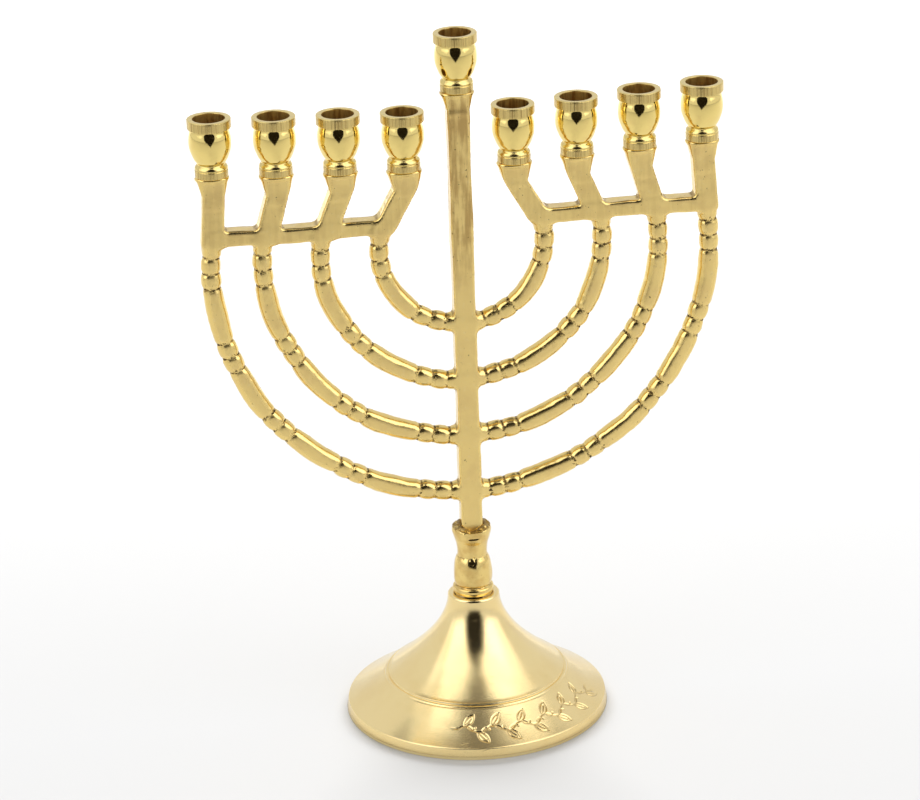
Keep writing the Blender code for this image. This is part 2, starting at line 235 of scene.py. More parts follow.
class Wire:
    """One output of a node. Sums and products of wires and numbers add Math nodes to the same finish."""

    def __init__(self, finish, socket):
        self.finish, self.socket = finish, socket

    def _math(self, operation, left, right):
        """A Math node on the two sides, each a wire or a number."""
        return self.finish.node("ShaderNodeMath", {"operation": operation}, {0: left, 1: right})

    def __add__(self, other):
        return self._math("ADD", self, other)

    def __radd__(self, other):
        return self._math("ADD", other, self)

    def __sub__(self, other):
        return self._math("SUBTRACT", self, other)

    def __rsub__(self, other):
        return self._math("SUBTRACT", other, self)

    def __mul__(self, other):
        return self._math("MULTIPLY", self, other)

    def __rmul__(self, other):
        return self._math("MULTIPLY", other, self)


class Finish:
    """One material: its node tree, and the one method that adds nodes to it."""

    def __init__(self, name):
        self.material = bpy.data.materials.new(name)
        self.material.use_nodes = True
        self.tree = self.material.node_tree
        self.tree.nodes.clear()

    def node(self, kind, settings=None, values=None, output=0):
        """Adds a node, sets its settings, then gives its inputs numbers, colours or wires."""
        node = self.tree.nodes.new(kind)
        for key, value in (settings or {}).items():
            setattr(node, key, value)
        for key, value in (values or {}).items():
            if isinstance(value, Wire):
                self.tree.links.new(value.socket, node.inputs[key])
            elif isinstance(value, tuple) and len(value) == 3 and node.inputs[key].type == "RGBA":
                node.inputs[key].default_value = (*value, 1.0)
            else:
                node.inputs[key].default_value = value
        return Wire(self, node.outputs[output]) if node.outputs else None

    def field(self, name):
        """A number kept at the mesh's points."""
        return self.node("ShaderNodeAttribute", {"attribute_name": name}, output=2)

    def spot(self):
        """The place on the object, in metres."""
        return self.node("ShaderNodeTexCoord", output=3)

    def around(self):
        """The direction round a turned piece's axis, with its height as the third number: in millimetres, but in
        metres and shifted on the cups."""
        return self.node("ShaderNodeAttribute", {"attribute_name": "around"}, output=1)

    def stretched(self, vector, scale):
        """The place with each of its three numbers multiplied: a small factor draws the grain out along it."""
        return self.node("ShaderNodeVectorMath", {"operation": "MULTIPLY"}, {0: vector, 1: scale})

    def grain(self, vector, scale, detail, roughness=0.55):
        """Soft noise about 0.5; the detail counts the finer layers laid over it."""
        return self.node("ShaderNodeTexNoise", None, {
            "Vector": vector, "Scale": scale, "Detail": detail, "Roughness": roughness})

    def rise(self, value, low, high):
        """0 below low, 1 above high, and a smooth step between."""
        return self.node("ShaderNodeMapRange", {"interpolation_type": "SMOOTHSTEP"},
                         {"Value": value, "From Min": low, "From Max": high})

    def tint(self, factor, without, with_it):
        """The first colour where the factor is 0, the second where it is 1."""
        return self.node("ShaderNodeMix", {"data_type": "RGBA"}, {0: factor, 6: without, 7: with_it}, output=2)

    def metal(self, colour, roughness, height, depth, coat, metallic=1.0):
        """Closes the finish: a lacquered metal whose bump is the height times the depth, in metres."""
        bump = self.node("ShaderNodeBump", None, {"Height": height, "Strength": 1.0, "Distance": depth})
        shader = self.node("ShaderNodeBsdfPrincipled", None, {
            "Base Color": colour, "Metallic": metallic, "Roughness": roughness, "Normal": bump,
            "Coat Weight": coat, "Coat Roughness": LACQUER_ROUGHNESS, "Coat IOR": LACQUER_IOR})
        self.node("ShaderNodeOutputMaterial", None, {"Surface": shader})
        return self.material


LACQUER_ROUGHNESS, LACQUER_IOR = 0.06, 1.45
POLISHED = (0.93, 0.74, 0.27)
BRUSHED = (0.74, 0.57, 0.22)
CAST = (0.89, 0.67, 0.24)
FILED = (0.93, 0.71, 0.28)
PATINA = (0.56, 0.37, 0.13)
SOOT = (0.05, 0.028, 0.008)
BORE_BROWN = (0.72, 0.52, 0.17)
BORE_DARK = (0.38, 0.21, 0.05)
FOOT_BRASS = (0.95, 0.76, 0.38)
STEEL = (0.55, 0.55, 0.56)


def cup_finish():
    """Turned brass: mirror-bright bulb, bands left with upright tool marks, and a bore browned by wax and heat."""
    f = Finish("turned_cup_brass")
    spot, around = f.spot(), f.around()
    brushed, stained = f.field("brushed"), f.field("stained")
    streaks = f.grain(f.stretched(around, (3.2, 3.2, 0.02)), 3.2, 4.0, 0.7)
    fine_streaks = f.grain(f.stretched(around, (11.0, 11.0, 0.05)), 3.0, 2.0)
    turning = f.grain(f.stretched(spot, (60.0, 60.0, 9000.0)), 1.0, 2.0)
    cloud = f.grain(spot, 420.0, 3.0)
    marks = f.rise(streaks, 0.50, 0.64) * brushed
    colour = f.tint(brushed, POLISHED, BRUSHED)
    colour = f.tint(f.rise(cloud, 0.45, 0.75) * 0.35, colour, (0.86, 0.63, 0.24))
    colour = f.tint(marks * 0.85, colour, (0.40, 0.26, 0.09))
    colour = f.tint(f.rise(fine_streaks, 0.54, 0.68) * brushed * 0.6, colour, SOOT)
    drips = f.grain(f.stretched(spot, (1.0, 1.0, 0.25)), 600.0, 4.0)
    wall = f.tint(f.rise(drips, 0.38, 0.68), BORE_BROWN, BORE_DARK)
    colour = f.tint(stained, colour, wall)
    roughness = 0.055 + brushed * 0.17 + cloud * 0.05 + stained * 0.24 + marks * 0.1
    height = fine_streaks * brushed * 0.5 + streaks * brushed * 0.5 + turning * 0.05 + cloud * 0.06
    return f.metal(colour, roughness, height, 0.00008, 0.15 * (1 - stained), 1 - stained * 0.12)


def cast_finish():
    """Cast brass: filed satin faces, polished rounds and edges, brown patina on the upper post, and dark pits
    gathered in the grooves and inner corners."""
    f = Finish("cast_branch_brass")
    spot = f.spot()
    filed, crease, worn = f.field("filed"), f.field("crease"), f.field("worn")
    groove, aged = f.field("groove"), f.field("aged")
    cloud = f.grain(spot, 140.0, 4.0)
    mottle = f.grain(spot, 620.0, 5.0, 0.62)
    pores = f.grain(spot, 1900.0, 3.0, 0.7)
    scratch = f.grain(f.stretched(spot, (2600.0, 900.0, 160.0)), 1.0, 3.0, 0.6)
    brushed_across = f.grain(f.stretched(spot, (150.0, 900.0, 2300.0)), 1.0, 3.0, 0.6)
    streak = f.grain(f.stretched(spot, (520.0, 520.0, 46.0)), 1.0, 4.0, 0.6)
    colour = f.tint(filed, CAST, FILED)
    colour = f.tint(f.rise(cloud, 0.42, 0.70) * 0.45, colour, (0.80, 0.58, 0.24))
    colour = f.tint(f.rise(mottle, 0.52, 0.75) * 0.30, colour, (0.94, 0.78, 0.42))
    colour = f.tint(f.rise(streak * 0.7 + cloud * 0.3, 0.42, 0.60) * aged * 0.9, colour, PATINA)
    sunk = (crease * 0.62 + groove * 0.36) * (1 - filed * 0.75)
    dirty = f.rise(sunk + mottle * 0.55 + pores * 0.35 - worn * 0.4, 0.78, 1.22)
    colour = f.tint(dirty * 0.85, colour, (0.24, 0.14, 0.04))
    blot = f.grain(spot, 850.0, 2.0, 0.6)
    pit = f.rise(pores * 0.45 + blot * 0.55 + groove * 0.12 + crease * 0.03 + aged * 0.03, 0.64, 0.69)
    colour = f.tint(pit * 0.9, colour, SOOT)
    satin = filed * (0.10 + scratch * 0.10)
    roughness = 0.15 + satin + mottle * 0.07 + dirty * 0.25 + pit * 0.3 - worn * 0.06
    height = mottle * 0.22 + cloud * 0.5 + pores * 0.05 - pit * 0.8 + filed * (scratch + brushed_across) * 0.05
    return f.metal(colour, roughness, height, 0.00012, 0.15 - dirty * 0.12)


def baluster_finish():
    """Turned and filed brass, rough and sooty where it was sweated to the post, with small open pores."""
    f = Finish("baluster_brass")
    spot, rough = f.spot(), f.field("rough")
    cloud = f.grain(spot, 300.0, 4.0)
    mottle = f.grain(spot, 900.0, 5.0, 0.65)
    pores = f.grain(spot, 2100.0, 2.0, 0.7)
    rings = f.grain(f.stretched(spot, (40.0, 40.0, 7000.0)), 1.0, 2.0)
    pit = f.rise(pores + rough * 0.14, 0.70, 0.78)
    dirty = f.rise(mottle + rough * 0.50, 0.66, 0.98)
    colour = f.tint(f.rise(cloud, 0.36, 0.66) * 0.6, (0.87, 0.66, 0.25), (0.66, 0.43, 0.14))
    colour = f.tint(dirty * 0.85, colour, (0.22, 0.13, 0.04))
    colour = f.tint(pit * 0.9, colour, SOOT)
    roughness = 0.09 + cloud * 0.07 + dirty * 0.3 + pit * 0.3
    height = cloud * 0.4 + mottle * 0.12 + rings * 0.04 - pit * 0.7 + rough * mottle * 1.5
    return f.metal(colour, roughness, height, 0.00010, 0.2 - dirty * 0.18)


def foot_finish():
    """Spun and buffed brass: fine rings from the lathe, soft buffing clouds, stray scratches, and a dull brown
    underside."""
    f = Finish("spun_foot_brass")
    spot, around = f.spot(), f.around()
    under, chased = f.field("under"), f.field("chased")
    cloud = f.grain(spot, 70.0, 4.0)
    mottle = f.grain(spot, 420.0, 4.0, 0.6)
    rings = f.grain(f.stretched(around, (0.6, 0.6, 4200.0)), 1.0, 3.0, 0.6)
    buff = f.grain(f.stretched(around, (26.0, 26.0, 60.0)), 1.0, 3.0, 0.6)
    scratch = f.rise(f.grain(f.stretched(spot, (260.0, 1900.0, 700.0)), 1.0, 2.0, 0.5), 0.70, 0.76)
    colour = f.tint(f.rise(cloud, 0.38, 0.70) * 0.5, FOOT_BRASS, (0.89, 0.67, 0.30))
    colour = f.tint(f.rise(mottle, 0.60, 0.82) * 0.25, colour, (0.80, 0.58, 0.24))
    colour = f.tint(chased * 0.6, colour, (0.50, 0.33, 0.11))
    colour = f.tint(under * (0.55 + mottle * 0.4), colour, (0.30, 0.18, 0.06))
    roughness = 0.085 + cloud * 0.07 + buff * 0.05 + scratch * 0.12 + under * 0.3 + chased * 0.1
    height = cloud * 0.35 + buff * 0.10 + rings * 0.03 + scratch * -0.12 + under * mottle * 1.6
    return f.metal(colour, roughness, height, 0.00010, 0.2 * (1 - under))


def screw_finish(name, colour, stain):
    """Machined metal: rings from the die, a little oil stain and wear."""
    f = Finish(name)
    spot = f.spot()
    cloud = f.grain(spot, 500.0, 4.0)
    rings = f.grain(f.stretched(spot, (300.0, 300.0, 9000.0)), 1.0, 2.0)
    colour = f.tint(f.rise(cloud, 0.42, 0.70) * 0.6, colour, stain)
    return f.metal(colour, 0.24 + cloud * 0.22, rings * 0.5 + cloud * 0.5, 0.00005, 0.0)


# ---- turned pieces

def cup_shape(name, seed):
    """One candle cup. Its outline, in millimetres from the underside, is a floor, a plain bore, a flat rim, a
    band, a groove, a bulb drawn in to a neck, a bead, a collar and a tapped hole; the band and the collar carry
    shallow upright nicks, each a bell curve round the axis."""
    low, high = (np.array(corner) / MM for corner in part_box(name))
    centre, tall = ((low[0] + high[0]) / 2, (low[1] + high[1]) / 2), high[2] - low[2]
    inside = [(0.4, CUP_FLOOR, 0), (CUP_BORE, CUP_FLOOR, 0.3), (CUP_BORE, tall, 0.22), (CUP_RIM, tall, 0.28),
              (CUP_RIM, tall - CUP_BAND, 0.22)]
    top = swept_corners(inside + [(6.32, tall - 3.32, 0.12), (6.42, tall - 3.9, 0)])
    bulb = through([(6.42, 15.6), (6.70, 14.5), (6.90, 13.4), (7.00, 11.9), (6.97, 10.35), (6.80, 9.3),
                    (6.52, 8.3), (6.16, 7.3), (5.76, 6.3), (5.22, 5.3), (4.74, 4.6), (4.62, 4.25)], 46)
    bead = through([(4.62, 4.25), (4.85, 3.98), (5.18, 3.62), (5.42, 3.15), (5.46, 2.75), (5.26, 2.42)], 16)
    collar = swept_corners([
        (5.26, 2.40, 0), (CUP_COLLAR, CUP_COLLAR_HEIGHT, 0.12), (CUP_COLLAR, 0.0, 0.25), (CUP_TAP, 0.0, 0.15),
        (CUP_TAP, CUP_TAP_DEPTH, 0.1), (0.3, CUP_TAP_DEPTH, 0)])
    outline = without_repeats(spaced(np.concatenate([top, bulb[1:], bead[1:], collar[1:]]), 0.55))
    angles = np.linspace(0, TAU, 176, endpoint=False)
    radius, height = swung(outline, angles)
    draw = np.random.default_rng(seed)
    in_row = np.arange(len(outline))[:, None]
    outer_start = int(np.argmax(outline[:, 0] > 7.15))
    outer = in_row >= outer_start
    band = outer & (height > tall - 3.25) & (height < tall - 0.05)
    foot_band = outer & (height < 2.3) & (height > 0.05) & (radius > 5.0)
    nicks = np.zeros_like(radius)
    for where, count in ((band, 15), (foot_band, 9)):
        for _ in range(count):
            turn, wide, deep = draw.uniform(0, TAU), draw.uniform(0.018, 0.05), draw.uniform(0.015, 0.07)
            off = (angles - turn + math.pi) % TAU - math.pi
            nicks = nicks + where * deep * np.exp(-((off / wide) ** 2))
    radius = radius - nicks
    out_of_true = 0.02 * ripple(np.cos(angles) * 6, np.sin(angles) * 6, height, 11.0, seed)
    radius = radius + np.where(outer & (height > 4.0) & (height < tall - 3.3), out_of_true, 0.0)
    bore = (in_row < outer_start) & (radius < 5.42) & (height < tall - 0.05)
    tap = (in_row >= outer_start) & (radius < 2.4)
    rim_top = (in_row < outer_start + 2) & (height > tall - 0.05)
    on_bead = outer & (height > 2.3) & (height < 4.4)
    fields = {"brushed": 1.0 * (band | foot_band) + 0.35 * rim_top + 0.4 * on_bead,
              "stained": 1.0 * (bore | tap)}
    height = height + low[2]
    level = height * MM + draw.uniform(-3, 3)
    return turned(name + "_turning", radius, height, angles, centre, fields=fields, level=level)


def square_round(angles, half_x, half_y, corner):
    """Distance from the axis to a rectangle's outline at each angle; the corner number rounds it, as the
    exponent of a superellipse."""
    across, deep = np.abs(np.cos(angles) / half_x), np.abs(np.sin(angles) / half_y)
    return (across**corner + deep**corner) ** (-1 / corner)


def baluster_shape():
    """The baluster. The first rows of the outline are the square socket for the post and the sloping, rough
    collar of metal round it, whose radius goes from the socket's outline to the cap's circle; below are the cap,
    waist, barrel and bead, the cap filed a little flat in front and behind, then the bored underside."""
    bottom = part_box("stem_baluster")[0][2] / MM
    angles = np.linspace(0, TAU, 240, endpoint=False)
    socket = square_round(angles, POST_HALF_WIDTH + 0.12, POST_HALF_DEPTH + 0.12, 9)
    floor = TENON_BOTTOM - LIGHT_GAP
    t = np.linspace(0, 1, 16)[:, None]
    shoulder_radius = socket * (1 - t) + CAP_EDGE * t
    in_front = np.abs(np.sin(angles)) ** 3
    inner_edge = 67.6 + (1.0 * np.abs(np.cos(angles)) ** 1.5 - 2.0 * in_front)
    shoulder_height = inner_edge * (1 - t) + (66.6 - 0.8 * in_front) * t - 0.6 * t * (1 - t)
    wall = np.linspace(0, 1, 9)[:, None]
    socket_rows = (0 * wall + socket, floor + (shoulder_height[:1] - floor) * wall)
    cap = swept_corners([(CAP_EDGE, 65.8, 0), (6.70, 65.3, 0.25), (6.62, 64.6, 0.3), (6.30, 63.4, 0)])
    waist = through([(6.30, 63.4), (5.98, 62.2), (5.52, 60.8), (5.20, 59.3), (5.06, 57.8), (5.04, 56.7),
                     (5.10, 55.9)], 34)
    barrel = through([(5.10, 55.9), (5.37, 55.4), (5.66, 54.8), (5.94, 54.0), (6.18, 53.0), (6.34, 52.0),
                      (6.47, 50.5), (6.54, 49.0), (6.56, 47.6), (6.47, 46.4), (6.28, 45.7), (5.98, 45.2)], 50)
    bead = through([(5.98, 45.2), (6.25, 44.95), (6.72, 44.65), (6.96, 44.1), (6.98, 43.5), (6.86, 42.95),
                    (BEAD_LIP, bottom + 0.22)], 30)
    under = swept_corners([(BEAD_LIP, bottom + 0.22, 0), (6.68, bottom, 0.1), (TIE_HOLE, bottom, 0.15),
                           (TIE_HOLE, TIE_HOLE_TOP, 0.2), (0.4, TIE_HOLE_TOP, 0)])
    outline = without_repeats(spaced(np.concatenate([cap, waist[1:], barrel[1:], bead[1:], under[1:]]), 0.45))
    radius = np.concatenate([socket_rows[0], shoulder_radius[1:], outline[1:, :1] + 0 * angles])
    height = np.concatenate([socket_rows[1], shoulder_height[1:], outline[1:, 1:] + 0 * angles])
    row = np.arange(len(radius))[:, None]
    socket_end, shoulder_end = 9, 9 + 15
    skin = (row >= shoulder_end) & (radius > 4.5)
    x, y = radius * np.cos(angles), radius * np.sin(angles)
    on_shoulder = (row >= socket_end) & (row < shoulder_end)
    rough = on_shoulder * np.clip(1.4 - 0.12 * (row - socket_end), 0.72, 1.4)
    rough = np.maximum(rough, np.exp(-(((height - 55.7) / 0.5) ** 2)) * 0.5 * skin)
    rough = np.maximum(rough, np.exp(-(((height - 45.2) / 0.45) ** 2)) * 0.6 * skin)
    fade = np.sin(np.clip((row - socket_end) / 15, 0, 1) * math.pi)
    height = height + 0.22 * ripple(x, y, height, 1.7, 5) * fade * (row < shoulder_end)
    radius = radius + skin * 0.035 * ripple(x, y, height, 6.0, 6)
    draw = np.random.default_rng(11)
    for _ in range(46):
        turn = draw.uniform(0, TAU)
        level = draw.choice([55.9, 55.7, 45.3, 55.4, 64.0]) + draw.normal(0, 0.35)
        wide, deep = draw.uniform(0.18, 0.42), draw.uniform(0.08, 0.26)
        off = ((angles - turn + math.pi) % TAU - math.pi) * 6.2
        radius = radius - skin * deep * np.exp(-(off**2 + (height - level) ** 2) / wide**2)
    facets = 0.10 * np.cos(9 * angles + 0.6) * np.exp(-(((height - 49.0) / 2.8) ** 2))
    radius = radius + skin * facets
    flat = CAP_FLAT / np.maximum(np.abs(np.sin(angles)), 0.01)
    in_cap = skin & (height > 63.2)
    radius = np.where(in_cap, np.minimum(radius, flat), radius)
    return turned("baluster_turning", radius, height, angles, fields={"rough": rough})


def vine_strokes():
    """The chased strokes as quadratic curves (start, bend, end) in millimetres: along the band, and up it. A wavy
    vine runs the length; each crest carries a pointed leaf, of two bowed sides and a midrib, and a tendril."""
    length = (CHASED_TO - CHASED_FROM) * CHASED_RADIUS
    wave, middle, swing = length / 6, 7.6, 1.25
    strokes = []
    for i in range(12):
        left, side = i * wave / 2, 1 if i % 2 == 0 else -1
        strokes.append(((left, middle), (left + wave / 4, middle + 2 * side * swing), (left + wave / 2, middle)))
        root = np.array([left + wave * 0.20, middle + side * swing * 0.9])
        tip = root + (3.3, side * 4.1)
        across = np.array([-(tip - root)[1], (tip - root)[0]]) * 0.30
        centre = (root + tip) / 2
        strokes += [(root, centre + 1.55 * across, tip), (root, centre - 1.55 * across, tip)]
        strokes.append((root + 0.12 * (tip - root), centre, root + 0.72 * (tip - root)))
        curl = np.array([left + wave * 0.36, middle + side * swing * 0.4])
        strokes.append((curl, curl + (1.5, -side * 1.6), curl + (2.4, -side * 0.1)))
    return [np.array(stroke, float) for stroke in strokes]


def chased_depth(along, up):
    """How far the chisel cut, from 0 to 1: a V whose depth falls off evenly with the distance to the nearest
    stroke."""
    nearest = np.full(along.shape, 9.0)
    for stroke in vine_strokes():
        path = quadratic(*stroke, 9)
        for (ax, ay), (bx, by) in zip(path[:-1], path[1:]):
            dx, dy = bx - ax, by - ay
            t = np.clip(((along - ax) * dx + (up - ay) * dy) / (dx * dx + dy * dy), 0, 1)
            nearest = np.minimum(nearest, np.hypot(along - ax - t * dx, up - ay - t * dy))
    return np.clip(1 - nearest / CHISEL_REACH, 0, 1)


def foot_shape():
    """The bell-shaped foot: a flat neck, a flare that is a quadratic curve, a fine double step, a slightly hollow
    lower band with a chased vine along part of it, an upright rim and the inside wall."""
    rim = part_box("bell_foot")[1][0] / MM
    chased = np.linspace(CHASED_FROM, CHASED_TO, 330)
    rest = np.linspace(CHASED_TO, CHASED_FROM + TAU, 122)[1:-1]
    angles = np.concatenate([chased, rest])
    neck = swept_corners([(FOOT_HOLE, 42.0, 0), (8.35, 42.0, 0.45), (8.8, 41.4, 0)])
    flare = quadratic((8.8, 41.4), (9.0, 29.2), (29.6, 13.95), 52)
    step = swept_corners([(29.6, 13.95, 0), (30.0, 13.78, 0.10), (30.12, 13.05, 0.12), (30.55, 13.16, 0.15),
                          (31.05, 12.98, 0.15), (31.2, 12.60, 0.12), (31.7, 12.36, 0)], 4)
    t = np.linspace(0, 1, 76)[:, None]
    band = np.array([31.7, 12.36]) * (1 - t) + np.array(BAND_OUTER) * t
    band[:, 1:] -= BAND_HOLLOW * 4 * t * (1 - t)
    edge = swept_corners([(*BAND_OUTER, 0), (44.15, 3.90, 0.12), (rim, 0.25, 0.2), (rim - 0.3, 0.0, 0.1),
                          (43.1, 0.0, 0.12), (INNER_WALL, 2.84, 0)])
    inner = quadratic((28.2, 12.16), (7.2, 27.4), (7.0, 37.5), 24)
    outline = without_repeats(np.concatenate([
        neck, flare[1:], step[1:], band[1:], spaced(edge, 0.7)[1:],
        spaced(np.array([(INNER_WALL, 2.84), (28.2, 12.16)]), 2.2)[1:], inner[1:],
        np.array([(5.0, 37.5), (FOOT_HOLE, 37.5), (FOOT_HOLE, 39.7)])]))
    radius, height = swung(outline, angles)
    row = np.arange(len(outline))[:, None]
    first_under = int(np.argmin(outline[:, 1] > 0.001))
    outer = row < first_under
    x, y = radius * np.cos(angles), radius * np.sin(angles)
    on_band = outer & (radius > 31.7) & (radius < 43.7)
    slope = np.array(BAND_OUTER) - np.array(BAND_INNER)
    slope /= np.hypot(*slope)
    up = (BAND_OUTER[0] - radius) / slope[0]
    turn = (angles - CHASED_FROM) % TAU
    in_arc = turn <= CHASED_TO - CHASED_FROM
    cut = chased_depth(np.where(in_arc, turn, -1.0) * CHASED_RADIUS, up) * on_band * in_arc
    radius = radius + cut * CHISEL_DEPTH * slope[1]
    height = height - cut * CHISEL_DEPTH * slope[0]
    spun = (0.035 * ripple(x, y, height, 19.0, 21) + 0.010 * ripple(x, y, height, 6.0, 22)) * outer
    fade = np.clip((height - 4.6) / 3, 0, 1) * np.clip((41.2 - height) / 2, 0, 1)
    height = height + spun * fade
    under = 1.0 * ~outer
    return turned("foot_spinning", radius, height, angles, ring=True, fields={"under": under, "chased": cut})


def threaded(name, node, pitch, depth):
    """A threaded stud: its radius falls from the crest to the root and back once a turn, and the place of the
    crest climbs by one pitch for each turn round the axis; both ends are chamfered."""
    low, high = (np.array(corner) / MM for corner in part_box(node))
    crest, centre = (high[0] - low[0]) / 2, ((low[0] + high[0]) / 2, (low[1] + high[1]) / 2)
    angles = np.linspace(0, TAU, 48, endpoint=False)
    rows = int((high[2] - low[2]) / pitch * 9)
    levels = np.concatenate([[high[2]], np.linspace(high[2], low[2], rows), [low[2]]])[:, None]
    phase = (levels / pitch - angles / TAU) % 1
    ridge = np.clip(1.6 - 3.2 * np.abs(phase - 0.5), 0, 1)
    radius = crest - depth * (1 - ridge)
    from_end = np.minimum(high[2] - levels, levels - low[2])
    radius = np.minimum(radius, crest - depth * 1.1 + from_end)
    radius[0], radius[-1] = radius[0] * 0.5, radius[-1] * 0.5
    return turned(name, radius, levels + 0 * angles, angles, centre)


def washer_shape():
    """A flat ring with softly stamped edges."""
    low, high = (np.array(corner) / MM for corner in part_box("washer"))
    outline = swept_corners([(3.15, high[2] - 0.3, 0), (3.15, high[2], 0.15), (high[0], high[2], 0.30),
                             (high[0], low[2], 0.12), (3.15, low[2], 0.25), (3.15, low[2] + 0.3, 0)])
    angles = np.linspace(0, TAU, 120, endpoint=False)
    outline = without_repeats(spaced(outline, 0.5))
    return turned("washer_ring", *swung(outline, angles), angles, ring=True)


def nut_shape():
    """A hexagon nut. Each row's radius is the smaller of the hexagon's and a cone's, which chamfers the corners at
    both faces, and the bore has a short lead-in."""
    low, high = (np.array(corner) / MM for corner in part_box("hex_nut"))
    flat = (high[0] - low[0]) / 2
    angles = np.linspace(0, TAU, 144, endpoint=False)
    hexagon = flat / np.cos((angles + math.pi / 6) % (math.pi / 3) - math.pi / 6)
    tall = high[2] - low[2]
    depths = np.concatenate([np.linspace(0, 0.9, 8), np.linspace(0.9, tall - 0.9, 8)[1:],
                             np.linspace(tall - 0.9, tall, 8)[1:]])[:, None]
    cone = flat * 0.98 + np.minimum(depths, tall - depths) * 1.7
    sides = np.minimum(hexagon, cone)
    top = np.array([(3.12, 0.5), (3.45, 0.0), (3.9, 0.0), (4.4, 0.0)])
    radius = np.concatenate([top[:, :1] + 0 * angles, sides, top[::-1, :1] + 0 * angles])
    level = np.concatenate([high[2] - top[:, 1:] + 0 * angles, high[2] - depths + 0 * angles,
                            low[2] + top[::-1, 1:] + 0 * angles])
    return turned("nut_hexagon", radius, level, angles, ring=True)


# ---- the cast branch frame

def soft_union(a, b, blend):
    """The smaller of two distances, with a round fillet where they are within `blend` of each other."""
    share = np.clip(0.5 + 0.5 * (b - a) / blend, 0, 1)
    return b + (a - b) * share - blend * share * (1 - share)


def soft_cut(a, b, blend):
    """The larger of two distances, with its edge rounded over `blend`."""
    return -soft_union(-a, -b, blend)


def rounded_section(across, deep, half_across, half_deep, corner):
    """Distance to a rounded rectangle in the plane of a bar's section."""
    qa, qd = np.abs(across) - (half_across - corner), np.abs(deep) - (half_deep - corner)
    return np.hypot(np.maximum(qa, 0), np.maximum(qd, 0)) + np.minimum(np.maximum(qa, qd), 0) - corner


def head_places():
    """(x, top) of the heads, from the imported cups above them: the middle one, then the right arms outwards."""
    places = []
    for cup in ("shamash_cup", "cup_5", "cup_6", "cup_7", "cup_8"):
        low, high = (np.array(corner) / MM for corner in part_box(cup))
        places.append(((low[0] + high[0]) / 2, low[2] - LIGHT_GAP))
    return places


def knops_of(arm):
    """Places of the knops' middle grooves along an arm, measured along its arc from the post's axis."""
    radius = ARM_RADII[arm]
    centre = LOWEST_ARM + (ARMS - 1 - arm) * ARM_STEP + radius
    length = radius * math.acos((centre - BAR_CENTRE) / radius)
    return np.linspace(FIRST_KNOP, length - LAST_KNOP_FROM_BAR, arm + 2), centre


def arm_body(x, y, z, arm):
    """Distance to one U-shaped arm, and how deep in a groove a place is. The arm is a round bar along an arc
    whose radius swells between the knops and dips at each groove, with its front and back filed flat."""
    knops, centre = knops_of(arm)
    radius = ARM_RADII[arm]
    off = np.hypot(x, z - centre) - radius
    along = np.arctan2(np.abs(x), centre - z) * radius
    nearest = np.full(np.shape(along), 99.0)
    for knop in knops:
        steps = (along - knop) / GROOVE_PITCH
        nearest = np.minimum(nearest, np.abs(steps - np.clip(np.round(steps), -1, 1)) * GROOVE_PITCH)
    groove = np.exp(-((nearest / GROOVE_WIDTH) ** 2))
    swell = np.clip(nearest / 6, 0, 1)
    swell = swell * swell * (3 - 2 * swell)
    side = np.sign(x)
    wander = 0.16 * np.sin(along / 9.0 + arm * 2.1 + side) + 0.10 * np.sin(along / 4.1 + arm + 2 * side)
    thick = ARM_ROUND * (0.95 + 0.05 * swell) + 0.05 * np.sin(along / 2.3 + 1.7 * side + arm)
    thick = thick - GROOVE_DEPTH * groove
    tube = np.hypot(off - wander, y) - thick
    flat = np.abs(y) - (ARM_FLAT + 0.03 * np.sin(along / 3.0 + side) - 0.16 * groove)
    body = soft_cut(tube, flat, 0.45)
    return soft_cut(body, z - BAR_CENTRE - 2.0, 3.0), groove


def stub_body(x, y, z, place, top, foot_x, foot_z):
    """Distance to a stub: a rounded rectangle that leans from the foot to the place, then widens evenly up to the
    top, where its plan turns nearly oval."""
    share = np.clip((z - foot_z) / (top - HEAD_HEIGHT - foot_z), 0, 1)
    middle = foot_x + (place - foot_x) * share
    lean = math.cos(math.atan2(abs(foot_x - place), top - foot_z))
    flare = np.clip((z - (top - HEAD_HEIGHT)) / HEAD_HEIGHT, 0, 1)
    half_width = POST_HALF_WIDTH + (HEAD_HALF_WIDTH - 0.35 - POST_HALF_WIDTH) * flare**0.9
    half_depth = POST_HALF_DEPTH + (HEAD_HALF_DEPTH - 0.45 - POST_HALF_DEPTH) * flare**2
    corner = POST_EDGE + 2.7 * flare**1.2
    body = rounded_section((x - middle) * lean, y, half_width, half_depth, corner)
    body = soft_cut(body, z - top, 0.3)
    return soft_cut(body, foot_z - z, 2.6)


def lip_body(x, y, z, place, top):
    """Distance to a head's lip: a thin flat-topped oval plate."""
    oval = (np.hypot((x - place) / HEAD_HALF_WIDTH, y / HEAD_HALF_DEPTH) - 1) * HEAD_HALF_DEPTH
    plate = np.abs(z - (top - HEAD_LIP / 2)) - HEAD_LIP / 2
    return soft_cut(oval, plate, 0.55)


